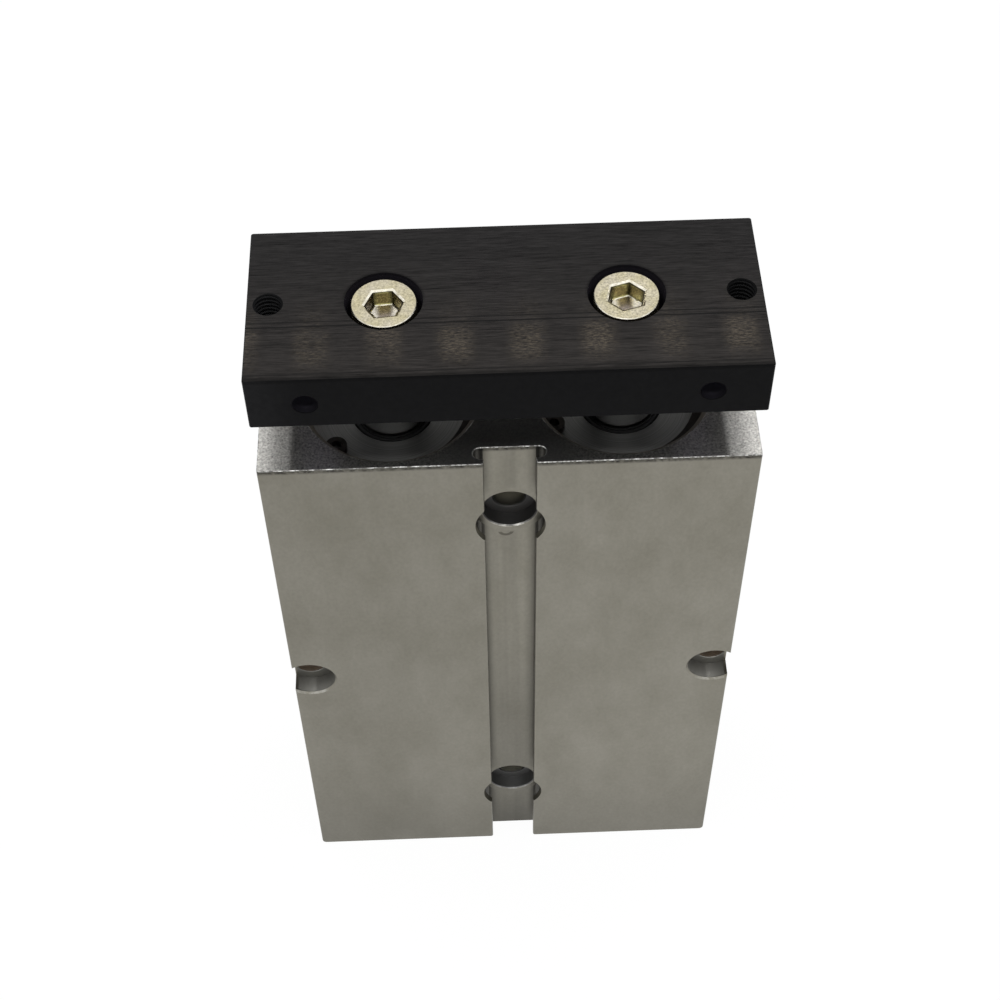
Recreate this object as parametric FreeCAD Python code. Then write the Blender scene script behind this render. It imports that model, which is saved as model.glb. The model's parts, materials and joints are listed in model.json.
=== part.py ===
# Twin rod pneumatic cylinder, 25 mm bore: two parallel pistons in one extruded barrel drive an end plate.
# It stands on its rear end with the rods pointing up. The origin is the middle of the rear face, +Z runs
# along the rods, X across the width, and the face with the visible sensor slot looks towards -Y.
import FreeCAD, Part
import math
import os

V = FreeCAD.Vector
UP = V(0, 0, 1)

# Driving dimensions, in millimetres

# Travel and bores
stroke = 60.0
bore_dia = 25.0
bore_web = 12.5
rod_dia = 12.0

# Barrel extrusion
side_wall = 8.75
mouth_land = 1.0
barrel_edge_radius = 0.3
rear_corner_radius = 1.0
barrel_end_chamfer = 0.12

# Seats in both ends of each bore, closed by an internal retaining ring
seat_step = 1.5
mouth_chamfer = 1.0
front_groove_setback = 3.3
rear_groove_setback = 2.3
groove_width = 1.3
groove_depth = 0.7

# Sensor slot along the middle of both wide faces
slot_mouth = 8.4
slot_undercut = 1.65
slot_depth = 3.4
slot_lip = 1.15
slot_edge_radius = 0.4

# Mounting holes through the barrel: two in the sensor slot, two that break out at the sides
mount_hole_dia = 5.3
mount_hole_front = 16.2
mount_hole_rear = 18.5
mount_spotface_dia = 11.6
mount_counterbore_dia = 9.0
mount_counterbore_depth = 6.1
mount_chamfer = 0.25
mount_floor_chamfer = 0.2
side_hole_wall = 0.35
side_counterbore_dia = 9.2
side_counterbore_depth = 3.5
side_chamfer = 0.35
side_floor_chamfer = 0.1

# Air ports on the right side, each with a cross passage that joins both bores
port_dia = 8.8
port_floor = 1.7
port_land = 0.4
port_chamfer = 0.7
passage_dia = 3.0

# Front glands and rear covers
gland_flange_length = 13.4
gland_spigot_length = 10.0
cover_flange_length = 4.6
cover_spigot_length = 6.6
spigot_annulus = 1.5
turned_chamfer = 0.6
centre_mark = 1.5
bush_wall = 1.0
bush_setback = 0.3
bush_split = 0.3
rod_seal_section = 3.5
rod_seal_height = 5.0
rod_relief = 0.3
gland_rib = 1.2
gland_lip = 1.0
gland_opening = 0.9
o_ring_section = 1.7
o_ring_groove_width = 2.4

# Bumpers in the glands and covers
bumper_thickness = 2.5
bumper_section = 1.8
bumper_proud = 1.0
end_clearance = 0.1

# Retaining rings
circlip_play = 0.1
circlip_wide = 2.6
circlip_narrow = 1.4
circlip_lug_radius = 1.75
circlip_lug_angle = 27.0
circlip_hole_dia = 1.7

# Pistons
piston_front_length = 6.0
piston_rear_length = 8.0
piston_clearance = 0.25
piston_chamfer = 0.4
piston_seal_width = 3.0
piston_seal_section = 2.35
magnet_length = 5.0
magnet_section = 2.2
wear_ring_thickness = 1.2
wear_ring_split = 0.6
rod_tail_dia = 8.0
nut_flats = 13.0
nut_height = 4.0
nut_setback = 0.4
nut_pocket_clearance = 0.3

# End plate and its screws
plate_gap = 10.5
plate_inset = 0.15
plate_thickness = 10.5
plate_corner_radius = 0.4
plate_chamfer = 0.15
plate_hole_clearance = 0.2
plate_counterbore_dia = 12.2
plate_thread_dia = 4.2
plate_thread_inset = 3.3
plate_thread_chamfer = 0.25
plate_side_hole_dia = 4.0
plate_side_hole_inset = 8.95
plate_side_hole_height = 5.0
screw_dia = 6.0
screw_length = 20.0
screw_head_dia = 10.2
screw_head_height = 6.0
screw_head_chamfer = 0.12
screw_recess = 0.45
socket_flats = 5.0
socket_depth = 2.9
socket_floor_bevel = 0.25
socket_mouth_bevel = 0.45
tap_relief = 2.0
drill_point = 59.0
rod_chamfer = 0.6

# Clearances on the radius: pieces that stay put, and pieces that slide
fit = 0.03
running = 0.04

# Turn of each screw's socket and each retaining ring's opening, in degrees about +Z
socket_turn = {"left": 5.0, "right": 17.5}
front_circlip_turn = {"left": 195.0, "right": 177.0}
rear_circlip_turn = {"left": 270.0, "right": 270.0}

# Sizes that follow from the driving dimensions

rod_spacing = bore_dia + bore_web
bore_r = bore_dia / 2
rod_r = rod_dia / 2
seat_r = bore_r + seat_step
groove_r = seat_r + groove_depth
mouth_r = seat_r + mouth_chamfer
spigot_r = bore_r - spigot_annulus
bumper_r = (rod_r + bush_wall + spigot_r) / 2
slot_width = slot_mouth + 2 * slot_undercut
circlip_thickness = groove_width - circlip_play
plate_hole_dia = screw_dia + 2 * plate_hole_clearance
barrel_width = rod_spacing + bore_dia + 2 * side_wall
barrel_depth = 2 * (mouth_r + mouth_land)
piston_length = piston_rear_length + magnet_length + piston_front_length

# Heights from the rear face upwards
cover_rear = rear_groove_setback + groove_width
rear_step = cover_rear + cover_flange_length
cover_front = rear_step + cover_spigot_length
piston_bottom = cover_front + bumper_proud + end_clearance
piston_top = piston_bottom + piston_length
gland_rear = piston_top + stroke + end_clearance + bumper_proud
front_step = gland_rear + gland_spigot_length
gland_front = front_step + gland_flange_length
barrel_length = gland_front + groove_width + front_groove_setback
pocket_top = gland_front - gland_lip
pocket_floor = pocket_top - rod_seal_height
bush_top = pocket_floor - gland_rib
plate_bottom = barrel_length + plate_gap
plate_top = plate_bottom + plate_thickness

# Places of the mounting holes and ports
mount_hole_heights = (mount_hole_rear, barrel_length - mount_hole_front)
side_hole_height = sum(mount_hole_heights) / 2
side_hole_x = barrel_width / 2 - mount_hole_dia / 2 - side_hole_wall
port_heights = (rear_step + port_land + port_dia / 2, front_step - port_land - port_dia / 2)

# The pieces repeat on the two bore axes
bore_axes = {"left": -rod_spacing / 2, "right": rod_spacing / 2}


# Shared shapes


def turned(profile, x):
    """Solid turned about the vertical line at x, from (radius, height) corners."""
    corners = [V(x + radius, 0, height) for radius, height in profile]
    outline = Part.makePolygon(corners + corners[:1])
    return Part.Face(outline).revolve(V(x, 0, 0), UP, 360)


def disc(radius, centre):
    """Flat round face in the XY plane."""
    return Part.Face(Part.Wire(Part.makeCircle(radius, centre, UP)))


def rectangle(width, depth, centre_y):
    """Flat rectangular face in the XY plane, centred on X."""
    corner = V(-width / 2, centre_y - depth / 2, 0)
    return Part.makePlane(width, depth, corner, UP)


def hexagon(flats, turn):
    """Flat hexagonal face about the origin. At turn 0 two of its sides face +Y and -Y."""
    radius = flats / math.sqrt(3)
    angles = [math.radians(turn + 60 * i) for i in range(6)]
    corners = [V(radius * math.cos(a), radius * math.sin(a), 0) for a in angles]
    return Part.Face(Part.makePolygon(corners + corners[:1]))


def hexagon_frustum(low_flats, high_flats, height, turn):
    """Six-sided solid that rises from the XY plane and changes from one size across flats to another."""
    low = hexagon(low_flats, turn).OuterWire
    high = hexagon(high_flats, turn).OuterWire
    high.translate(V(0, 0, height))
    return Part.makeLoft([low, high], True, True)


def drill(dia, start, direction, length):
    """Round cutter of the given diameter."""
    return Part.makeCylinder(dia / 2, length, start, direction)


def countersink(dia, chamfer, start, direction):
    """Cutter for a 45 degree chamfer at the mouth of a round hole."""
    return Part.makeCone(dia / 2 + chamfer, dia / 2, chamfer, start, direction)


def split_cutter(x, inner_r, outer_r, width, bottom, top):
    """Narrow radial cutter that opens a split ring towards +Y."""
    return Part.makeBox(width, outer_r - inner_r, top - bottom, V(x - width / 2, inner_r, bottom))


def edges_at(shape, test):
    """Edges of the shape whose two ends and middle all pass the test."""
    found = []
    for edge in shape.Edges:
        points = [vertex.Point for vertex in edge.Vertexes]
        points.append(edge.valueAt((edge.FirstParameter + edge.LastParameter) / 2))
        if all(test(point) for point in points):
            found.append(edge)
    return found


def near(a, b):
    return abs(a - b) < 1e-6


# Barrel


def slot_profile(side):
    """Cross-section of a sensor slot on the -Y face (side -1) or the +Y face (side 1)."""
    face_y = side * barrel_depth / 2
    groove_height = slot_depth - slot_lip
    groove_y = face_y - side * (slot_lip + groove_height / 2)
    end_r = groove_height / 2
    end_x = slot_width / 2 - end_r
    mouth = rectangle(slot_mouth, 2 * slot_depth, face_y)
    profile = mouth.fuse(rectangle(2 * end_x, groove_height, groove_y))
    for x in (-end_x, end_x):
        profile = profile.fuse(disc(end_r, V(x, groove_y, 0)))
    return profile.removeSplitter()


def barrel_blank():
    """Extruded barrel with its slots, broken edges and rounded rear corners, before any machining."""
    outline = rectangle(barrel_width, barrel_depth, 0)
    for side in (-1, 1):
        outline = outline.cut(slot_profile(side))
    blank = outline.Faces[0].extrude(V(0, 0, barrel_length))
    half_width, half_depth = barrel_width / 2, barrel_depth / 2
    long_edges = edges_at(blank, lambda p: near(abs(p.x), half_width) and near(abs(p.y), half_depth))
    blank = blank.makeFillet(barrel_edge_radius, long_edges)
    lips = edges_at(blank, lambda p: near(abs(p.x), slot_mouth / 2) and near(abs(p.y), half_depth))
    blank = blank.makeFillet(slot_edge_radius, lips)
    room = Part.makeBox(barrel_width, 2 * barrel_depth, 2 * barrel_length, V(-half_width, -barrel_depth, 0))
    rear = edges_at(room, lambda p: near(abs(p.x), half_width) and near(p.z, 0))
    blank = blank.common(room.makeFillet(rear_corner_radius, rear))
    front = edges_at(blank, lambda p: near(p.z, barrel_length))
    return blank.makeChamfer(barrel_end_chamfer, front)


def bore_cutter(x):
    """One stepped bore: the piston's bore, a seat at each end, its ring groove and its mouth chamfer."""
    over = 1.0

    def mouth(face, inward, setback):
        """Corners from the chamfered mouth at an end face to the inner side of its ring groove."""
        groove_outer = face + inward * setback
        groove_inner = groove_outer + inward * groove_width
        return [
            (mouth_r + over, face - inward * over),
            (seat_r, face + inward * mouth_chamfer),
            (seat_r, groove_outer),
            (groove_r, groove_outer),
            (groove_r, groove_inner),
            (seat_r, groove_inner),
        ]

    rear = [*mouth(0, 1, rear_groove_setback), (seat_r, rear_step), (bore_r, rear_step)]
    front = [*mouth(barrel_length, -1, front_groove_setback), (seat_r, front_step), (bore_r, front_step)]
    return turned([(0, -over), *rear, *reversed(front), (0, barrel_length + over)], x)


def mounting_hole_cutter(x, height, counterbores, chamfer, sunk, floor_chamfer):
    """Hole through the barrel along Y, with (diameter, depth) counterbores from both wide faces.

    The last counterbore has a chamfered mouth, which lies as deep as sunk, and a chamfer in its floor.
    """
    last_dia, last_depth = counterbores[-1]
    half_depth = barrel_depth / 2
    cutter = drill(mount_hole_dia, V(x, -half_depth, height), V(0, 1, 0), barrel_depth)
    for side in (-1, 1):
        inward = V(0, -side, 0)
        for dia, depth in counterbores:
            cutter = cutter.fuse(drill(dia, V(x, side * half_depth, height), inward, depth))
        mouth = V(x, side * (half_depth - sunk), height)
        floor = V(x, side * (half_depth - last_depth), height)
        cutter = cutter.fuse(countersink(last_dia, chamfer, mouth, inward))
        cutter = cutter.fuse(countersink(mount_hole_dia, floor_chamfer, floor, inward))
    return cutter


def port_cutter(height):
    """Air port on the +X side and the passage behind it that reaches the far bore through the web."""
    face_x = barrel_width / 2
    port_depth = side_wall - port_floor
    passage_length = face_x + bore_web / 2 + seat_step
    inward = V(-1, 0, 0)
    mouth = V(face_x, 0, height)
    cutter = drill(port_dia, mouth, inward, port_depth)
    cutter = cutter.fuse(countersink(port_dia, port_chamfer, mouth, inward))
    return cutter.fuse(drill(passage_dia, mouth, inward, passage_length))


def make_barrel():
    barrel = barrel_blank()
    for x in bore_axes.values():
        barrel = barrel.cut(bore_cutter(x))
    slot_counterbores = [
        (mount_spotface_dia, slot_depth),
        (mount_counterbore_dia, mount_counterbore_depth),
    ]
    for height in mount_hole_heights:
        hole = mounting_hole_cutter(
            0, height, slot_counterbores, mount_chamfer, slot_depth, mount_floor_chamfer
        )
        barrel = barrel.cut(hole)
    side_counterbore = [(side_counterbore_dia, side_counterbore_depth)]
    for x in (-side_hole_x, side_hole_x):
        hole = mounting_hole_cutter(
            x, side_hole_height, side_counterbore, side_chamfer, 0, side_floor_chamfer
        )
        barrel = barrel.cut(hole)
    for height in port_heights:
        barrel = barrel.cut(port_cutter(height))
    return barrel


# Pieces fixed in the barrel


def seated_rim(step, end, outward):
    """Outer corners of a gland or cover flange from its step to its outer end, with the O-ring groove."""
    flange_r = seat_r - fit
    groove_floor = flange_r - o_ring_section
    middle = (step + end) / 2
    half = outward * o_ring_groove_width / 2
    return [
        (flange_r, step),
        (flange_r, middle - half),
        (groove_floor, middle - half),
        (groove_floor, middle + half),
        (flange_r, middle + half),
        (flange_r, end - outward * turned_chamfer),
        (flange_r - turned_chamfer, end),
    ]


def bumper_groove(end, inward):
    """Corners of the bumper's ring groove in the inner end of a gland or cover, from outside inwards."""
    inner_r = bumper_r - bumper_section / 2
    outer_r = bumper_r + bumper_section / 2
    floor = end + inward * (bumper_thickness - bumper_proud)
    return [(outer_r, end), (outer_r, floor), (inner_r, floor), (inner_r, end)]


def make_gland(x):
    """Guide and seal carrier: flange with O-ring, spigot for the bush, snap-in pocket for the rod seal."""
    bush_seat_r = rod_r + bush_wall + fit
    pocket_r = rod_r + rod_seal_section
    inside = [
        (bush_seat_r, gland_rear),
        (bush_seat_r, bush_top),
        (rod_r + rod_relief, bush_top),
        (rod_r + rod_relief, pocket_floor),
        (pocket_r, pocket_floor),
        (pocket_r, pocket_top),
        (rod_r + gland_opening, pocket_top),
        (rod_r + gland_opening, gland_front),
    ]
    outside = list(reversed(seated_rim(front_step, gland_front, 1)))
    spigot = [(spigot_r, front_step), (spigot_r, gland_rear)]
    return turned(inside + outside + spigot + bumper_groove(gland_rear, 1), x)


def make_rod_bush(x):
    inner_r = rod_r + running
    outer_r = rod_r + bush_wall
    bottom = gland_rear + bush_setback
    tube = turned([(inner_r, bottom), (outer_r, bottom), (outer_r, bush_top), (inner_r, bush_top)], x)
    return tube.cut(split_cutter(x, rod_r - 1, outer_r + 1, bush_split, bottom, bush_top))


def make_rod_seal(x):
    """Rod packing: a grooved pressure lip below, and a dust lip that stands up in the gland's opening."""
    lip_r = rod_r + running
    heel_r = rod_r + rod_seal_section - fit
    section = heel_r - lip_r
    shoulder = pocket_top - fit
    height = shoulder - pocket_floor
    neck_r = rod_r + gland_opening - fit
    tip = gland_front - 0.2 * gland_lip
    profile = [
        (heel_r, pocket_floor),
        (heel_r, shoulder),
        (neck_r, shoulder),
        ((lip_r + neck_r) / 2, tip),
        (lip_r, tip),
        (lip_r + 0.12 * section, shoulder - 0.2 * height),
        (lip_r + 0.12 * section, pocket_floor + 0.35 * height),
        (lip_r, pocket_floor + 0.15 * height),
        (lip_r + 0.15 * section, pocket_floor),
        (lip_r + 0.4 * section, pocket_floor + 0.4 * height),
        (lip_r + 0.7 * section, pocket_floor + 0.4 * height),
        (lip_r + 0.85 * section, pocket_floor),
    ]
    return turned(profile, x)


def make_o_ring(x, middle):
    ring_r = o_ring_section / 2 - fit
    return Part.makeTorus(seat_r - fit - o_ring_section / 2, ring_r, V(x, 0, middle), UP)


def make_rear_cover(x):
    mark = [(0, cover_rear + centre_mark), (centre_mark, cover_rear)]
    rim = list(reversed(seated_rim(rear_step, cover_rear, -1)))
    spigot = [(spigot_r, rear_step), (spigot_r, cover_front)]
    return turned(mark + rim + spigot + bumper_groove(cover_front, -1) + [(0, cover_front)], x)


def make_bumper(x, floor, outward):
    inner_r = bumper_r - bumper_section / 2 + fit
    outer_r = bumper_r + bumper_section / 2 - fit
    end = floor + outward * bumper_thickness
    break_edge = bumper_proud / 4
    profile = [
        (inner_r, floor),
        (outer_r, floor),
        (outer_r, end - outward * break_edge),
        (outer_r - break_edge, end),
        (inner_r + break_edge, end),
        (inner_r, end - outward * break_edge),
    ]
    return turned(profile, x)


def make_circlip(x, bottom, turn):
    """Internal retaining ring: widest opposite its opening, with a drilled lug on each end."""
    outer_r = groove_r - fit
    inner_r = outer_r - (circlip_wide + circlip_narrow) / 2
    shift = (circlip_wide - circlip_narrow) / 2
    reach = 2 * outer_r
    lug_r = seat_r - running - circlip_lug_radius
    half_angle = math.radians(circlip_lug_angle)
    opening = [V(0, 0, 0)]
    for sign in (-1, 1):
        opening.append(V(reach * math.cos(half_angle), sign * reach * math.sin(half_angle), 0))
    outline = disc(outer_r, V(0, 0, 0)).cut(disc(inner_r, V(shift, 0, 0)))
    outline = outline.cut(Part.Face(Part.makePolygon(opening + opening[:1])))
    ring = outline.Faces[0].extrude(V(0, 0, circlip_thickness))
    lug_centres = [
        V(lug_r * math.cos(half_angle), sign * lug_r * math.sin(half_angle), 0) for sign in (-1, 1)
    ]
    for centre in lug_centres:
        ring = ring.fuse(drill(2 * circlip_lug_radius, centre, UP, circlip_thickness))
    for centre in lug_centres:
        ring = ring.cut(drill(circlip_hole_dia, centre, UP, circlip_thickness))
    ring = ring.removeSplitter()
    ring.rotate(V(0, 0, 0), UP, turn)
    ring.translate(V(x, 0, bottom))
    return ring


# Pieces that travel with the rods


def make_piston_rod(x):
    """Rod with a turned-down tail for the piston and a tapped hole for the plate screw."""
    tail_r = rod_tail_dia / 2
    tap_r = screw_dia / 2 + running
    grip = screw_length - (plate_thickness - screw_recess - screw_head_height)
    tap_floor = plate_bottom - grip - tap_relief
    point = tap_r / math.tan(math.radians(drill_point))
    profile = [
        (0, piston_bottom + nut_setback),
        (tail_r - rod_chamfer, piston_bottom + nut_setback),
        (tail_r, piston_bottom + nut_setback + rod_chamfer),
        (tail_r, piston_top),
        (rod_r, piston_top),
        (rod_r, plate_bottom - rod_chamfer),
        (rod_r - rod_chamfer, plate_bottom),
        (tap_r, plate_bottom),
        (tap_r, tap_floor),
        (0, tap_floor - point),
    ]
    return turned(profile, x)


def piston_rim(bottom, top):
    """Outer corners of one piston half from bottom to top, with its seal groove."""
    outer_r = bore_r - piston_clearance
    groove_floor = outer_r - piston_seal_section
    groove_bottom = (bottom + top - piston_seal_width) / 2
    return [
        (outer_r - piston_chamfer, bottom),
        (outer_r, bottom + piston_chamfer),
        (outer_r, groove_bottom),
        (groove_floor, groove_bottom),
        (groove_floor, groove_bottom + piston_seal_width),
        (outer_r, groove_bottom + piston_seal_width),
        (outer_r, top - piston_chamfer),
        (outer_r - piston_chamfer, top),
    ]


def magnet_radii():
    """Inner and outer radius of the magnet, which lies under the wear ring."""
    outer_r = bore_r - running - wear_ring_thickness - fit
    return outer_r - magnet_section, outer_r


def make_piston_front(x):
    """Front half of the piston, with the hub that carries the magnet."""
    hole_r = rod_tail_dia / 2 + fit
    hub_r = magnet_radii()[0] - fit
    hub_bottom = piston_bottom + piston_rear_length
    bottom = piston_top - piston_front_length
    hub = [(hole_r, piston_top), (hole_r, hub_bottom), (hub_r, hub_bottom), (hub_r, bottom)]
    return turned(hub + piston_rim(bottom, piston_top), x)


def make_piston_rear(x):
    """Rear half of the piston, with the pocket that hides the nut."""
    hole_r = rod_tail_dia / 2 + fit
    pocket_r = nut_flats / math.sqrt(3) + nut_pocket_clearance
    pocket_floor = piston_bottom + nut_setback + nut_height
    top = piston_bottom + piston_rear_length
    pocket = [(hole_r, top), (hole_r, pocket_floor), (pocket_r, pocket_floor), (pocket_r, piston_bottom)]
    return turned(pocket + piston_rim(piston_bottom, top), x)


def make_piston_seal(x, bottom, top, open_end):
    """Lip seal in a piston half. Its lips open towards the pressure: up (1) or down (-1)."""
    outer_r = bore_r - running
    inner_r = bore_r - piston_clearance - piston_seal_section + fit
    section = outer_r - inner_r
    middle = (bottom + top) / 2
    heel = middle - open_end * (piston_seal_width / 2 - fit)
    lips = middle + open_end * (piston_seal_width / 2 - fit)
    notch = open_end * 0.45 * piston_seal_width
    profile = [
        (inner_r, heel),
        (outer_r - 0.2 * section, heel),
        (outer_r, lips - notch / 2),
        (outer_r - 0.1 * section, lips),
        (outer_r - 0.3 * section, lips),
        (outer_r - 0.45 * section, lips - notch),
        (inner_r + 0.35 * section, lips - notch),
        (inner_r + 0.2 * section, lips),
        (inner_r, lips),
    ]
    return turned(profile, x)


def make_magnet(x):
    inner_r, outer_r = magnet_radii()
    bottom = piston_bottom + piston_rear_length + fit
    top = bottom + magnet_length - 2 * fit
    return turned([(inner_r, bottom), (outer_r, bottom), (outer_r, top), (inner_r, top)], x)


def make_wear_ring(x):
    inner_r = magnet_radii()[1] + fit
    outer_r = bore_r - running
    bottom = piston_bottom + piston_rear_length + fit
    top = bottom + magnet_length - 2 * fit
    ring = turned([(inner_r, bottom), (outer_r, bottom), (outer_r, top), (inner_r, top)], x)
    return ring.cut(split_cutter(x, inner_r - 1, outer_r + 1, wear_ring_split, bottom, top))


def make_piston_nut(x):
    """Thin hexagon nut with chamfered corners, in the pocket of the piston's rear half."""
    corner_r = nut_flats / math.sqrt(3)
    flat_r = nut_flats / 2
    drop = (corner_r - flat_r) * math.tan(math.radians(30))
    envelope = turned(
        [
            (0, 0),
            (flat_r, 0),
            (corner_r, drop),
            (corner_r, nut_height),
            (0, nut_height),
        ],
        0,
    )
    nut = hexagon(nut_flats, 0).extrude(V(0, 0, nut_height)).common(envelope)
    nut = nut.cut(drill(rod_tail_dia + 2 * fit, V(0, 0, 0), UP, nut_height))
    nut.translate(V(x, 0, piston_bottom + nut_setback))
    return nut


def make_end_plate():
    width = barrel_width - 2 * plate_inset
    depth = barrel_depth - 2 * plate_inset
    plate = rectangle(width, depth, 0).extrude(V(0, 0, plate_thickness))
    corners = edges_at(plate, lambda p: near(abs(p.x), width / 2) and near(abs(p.y), depth / 2))
    plate = plate.makeFillet(plate_corner_radius, corners)
    rims = edges_at(plate, lambda p: near(p.z, 0)) + edges_at(plate, lambda p: near(p.z, plate_thickness))
    plate = plate.makeChamfer(plate_chamfer, rims)
    plate.translate(V(0, 0, plate_bottom))
    down = V(0, 0, -1)
    for x in bore_axes.values():
        top = V(x, 0, plate_top)
        plate = plate.cut(drill(plate_hole_dia, top, down, plate_thickness))
        plate = plate.cut(drill(plate_counterbore_dia, top, down, screw_recess + screw_head_height))
    for side in (-1, 1):
        thread_x = side * (width / 2 - plate_thread_inset)
        for start, inward in ((plate_top, down), (plate_bottom, UP)):
            mouth = V(thread_x, 0, start)
            plate = plate.cut(drill(plate_thread_dia, mouth, inward, plate_thickness))
            plate = plate.cut(countersink(plate_thread_dia, plate_thread_chamfer, mouth, inward))
        side_x = side * (width / 2 - plate_side_hole_inset)
        front = V(side_x, -depth / 2, plate_bottom + plate_side_hole_height)
        plate = plate.cut(drill(plate_side_hole_dia, front, V(0, 1, 0), depth))
    return plate


def make_socket(turn):
    """Cutter for a hexagonal socket that rises from its floor, bevelled along its floor and its mouth."""
    narrow = socket_flats - 2 * socket_floor_bevel
    wide = socket_flats + 2 * socket_mouth_bevel
    floor = hexagon_frustum(narrow, socket_flats, socket_floor_bevel, turn)
    walls = hexagon(socket_flats, turn).extrude(V(0, 0, socket_depth - socket_floor_bevel))
    walls.translate(V(0, 0, socket_floor_bevel))
    mouth = hexagon_frustum(socket_flats, wide, socket_mouth_bevel, turn)
    mouth.translate(V(0, 0, socket_depth - socket_mouth_bevel))
    return floor.fuse(walls).fuse(mouth).removeSplitter()


def make_plate_screw(x, turn):
    """Socket head cap screw, sunk in the plate and screwed into the rod."""
    head_r, shank_r = screw_head_dia / 2, screw_dia / 2
    head_top = plate_top - screw_recess
    head_bottom = head_top - screw_head_height
    tip = head_bottom - screw_length
    screw = turned(
        [
            (0, tip),
            (shank_r - rod_chamfer, tip),
            (shank_r, tip + rod_chamfer),
            (shank_r, head_bottom),
            (head_r, head_bottom),
            (head_r, head_top - screw_head_chamfer),
            (head_r - screw_head_chamfer, head_top),
            (0, head_top),
        ],
        x,
    )
    socket = make_socket(turn)
    socket.translate(V(x, 0, head_top - socket_depth))
    return screw.cut(socket)


def make_side(side):
    """All the pieces on one bore axis, by the last part of their names."""
    x = bore_axes[side]
    rear_half_top = piston_bottom + piston_rear_length
    front_half_bottom = piston_top - piston_front_length
    bumper_sunk = bumper_thickness - bumper_proud
    return {
        "gland": make_gland(x),
        "gland_o_ring": make_o_ring(x, (front_step + gland_front) / 2),
        "rod_bush": make_rod_bush(x),
        "rod_seal": make_rod_seal(x),
        "front_bumper": make_bumper(x, gland_rear + bumper_sunk, -1),
        "front_circlip": make_circlip(x, gland_front, front_circlip_turn[side]),
        "rear_cover": make_rear_cover(x),
        "rear_cover_o_ring": make_o_ring(x, (cover_rear + rear_step) / 2),
        "rear_bumper": make_bumper(x, cover_front - bumper_sunk, 1),
        "rear_circlip": make_circlip(x, cover_rear - circlip_thickness, rear_circlip_turn[side]),
        "piston_rod": make_piston_rod(x),
        "piston_front": make_piston_front(x),
        "piston_rear": make_piston_rear(x),
        "piston_front_seal": make_piston_seal(x, front_half_bottom, piston_top, 1),
        "piston_rear_seal": make_piston_seal(x, piston_bottom, rear_half_top, -1),
        "magnet": make_magnet(x),
        "wear_ring": make_wear_ring(x),
        "piston_nut": make_piston_nut(x),
        "plate_screw": make_plate_screw(x, socket_turn[side]),
    }


def main():
    os.makedirs("parts", exist_ok=True)
    pieces = {"barrel": make_barrel(), "end_plate": make_end_plate()}
    for side in bore_axes:
        for name, shape in make_side(side).items():
            pieces[f"{side}_{name}"] = shape
    for name, shape in pieces.items():
        shape.exportStep(f"parts/{name}.step")
    total = sum(shape.Volume for shape in pieces.values())
    print(f"{len(pieces)} pieces, {total / 1000:.1f} cm3, barrel {barrel_length:.1f} mm long")


main()
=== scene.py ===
# Looks of a twin rod pneumatic cylinder: bare extruded barrel, black end plate, two plated cap screws.
import json
import math
from types import SimpleNamespace
import bmesh
import bpy
from mathutils import Matrix, Vector


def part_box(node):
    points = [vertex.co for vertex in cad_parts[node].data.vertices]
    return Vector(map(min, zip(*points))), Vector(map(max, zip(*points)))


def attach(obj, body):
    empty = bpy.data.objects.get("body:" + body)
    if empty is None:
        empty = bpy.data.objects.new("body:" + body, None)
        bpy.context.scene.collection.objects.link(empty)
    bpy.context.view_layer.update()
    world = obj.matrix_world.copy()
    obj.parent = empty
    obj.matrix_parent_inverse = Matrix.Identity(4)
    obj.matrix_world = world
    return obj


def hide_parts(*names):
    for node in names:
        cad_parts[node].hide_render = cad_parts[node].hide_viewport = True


MM = 0.001

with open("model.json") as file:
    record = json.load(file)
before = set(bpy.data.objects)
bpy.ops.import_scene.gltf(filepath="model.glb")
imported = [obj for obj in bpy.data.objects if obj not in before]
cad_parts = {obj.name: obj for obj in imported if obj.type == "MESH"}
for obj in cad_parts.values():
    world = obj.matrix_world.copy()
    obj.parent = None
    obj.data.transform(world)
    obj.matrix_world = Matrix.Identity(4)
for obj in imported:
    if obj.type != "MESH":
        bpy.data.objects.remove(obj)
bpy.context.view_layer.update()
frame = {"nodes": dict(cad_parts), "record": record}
nodes = frame["nodes"]

# Places read from the frame, in metres
BARREL_LOW, BARREL_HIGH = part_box("barrel")
PLATE_LOW, PLATE_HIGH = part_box("end_plate")
ROD_LOW, ROD_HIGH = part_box("right_piston_rod")
SCREW_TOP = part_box("right_plate_screw")[1].z
BORE_X = (ROD_LOW.x + ROD_HIGH.x) / 2
MOUNTS = {mount["name"]: mount for mount in frame["record"]["mounts"]}

# Where finishes change in the barrel's slot and holes: half widths, distances from its middle plane, depths
SLOT_HALF = 6.0 * MM
SLOT_MOUTH = 4.2 * MM
SLOT_LIP = 1.15 * MM
SLOT_FLOOR = 12.6 * MM
SLOT_HOLE_FLOOR = 9.85 * MM
THROUGH_REACH = 3.1 * MM
THROUGH_START = 9.65 * MM
THROUGH_FAR = 7.4 * MM
SPOTFACE_REACH = 5.75 * MM
SIDE_HOLE_X = 32.0 * MM
SIDE_HOLE_DEPTH = 3.5 * MM
MOUTH_CHAMFER = 1.1 * MM
END_CHAMFER = 0.14 * MM

# Where finishes change on the plate screws and round them
SCREW_RECESS_REACH = 6.1 * MM
SOCKET_REACH = 3.5 * MM
SOCKET_MOUTH_DEPTH = 0.3 * MM
SOCKET_DEPTH = 2.9 * MM

# Width over which one finish gives way to the next, and how far a 45 degree bevel faces along an axis
HAIR = 0.05 * MM
BEVEL_FACING = 0.707


# Camera and stage


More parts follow.
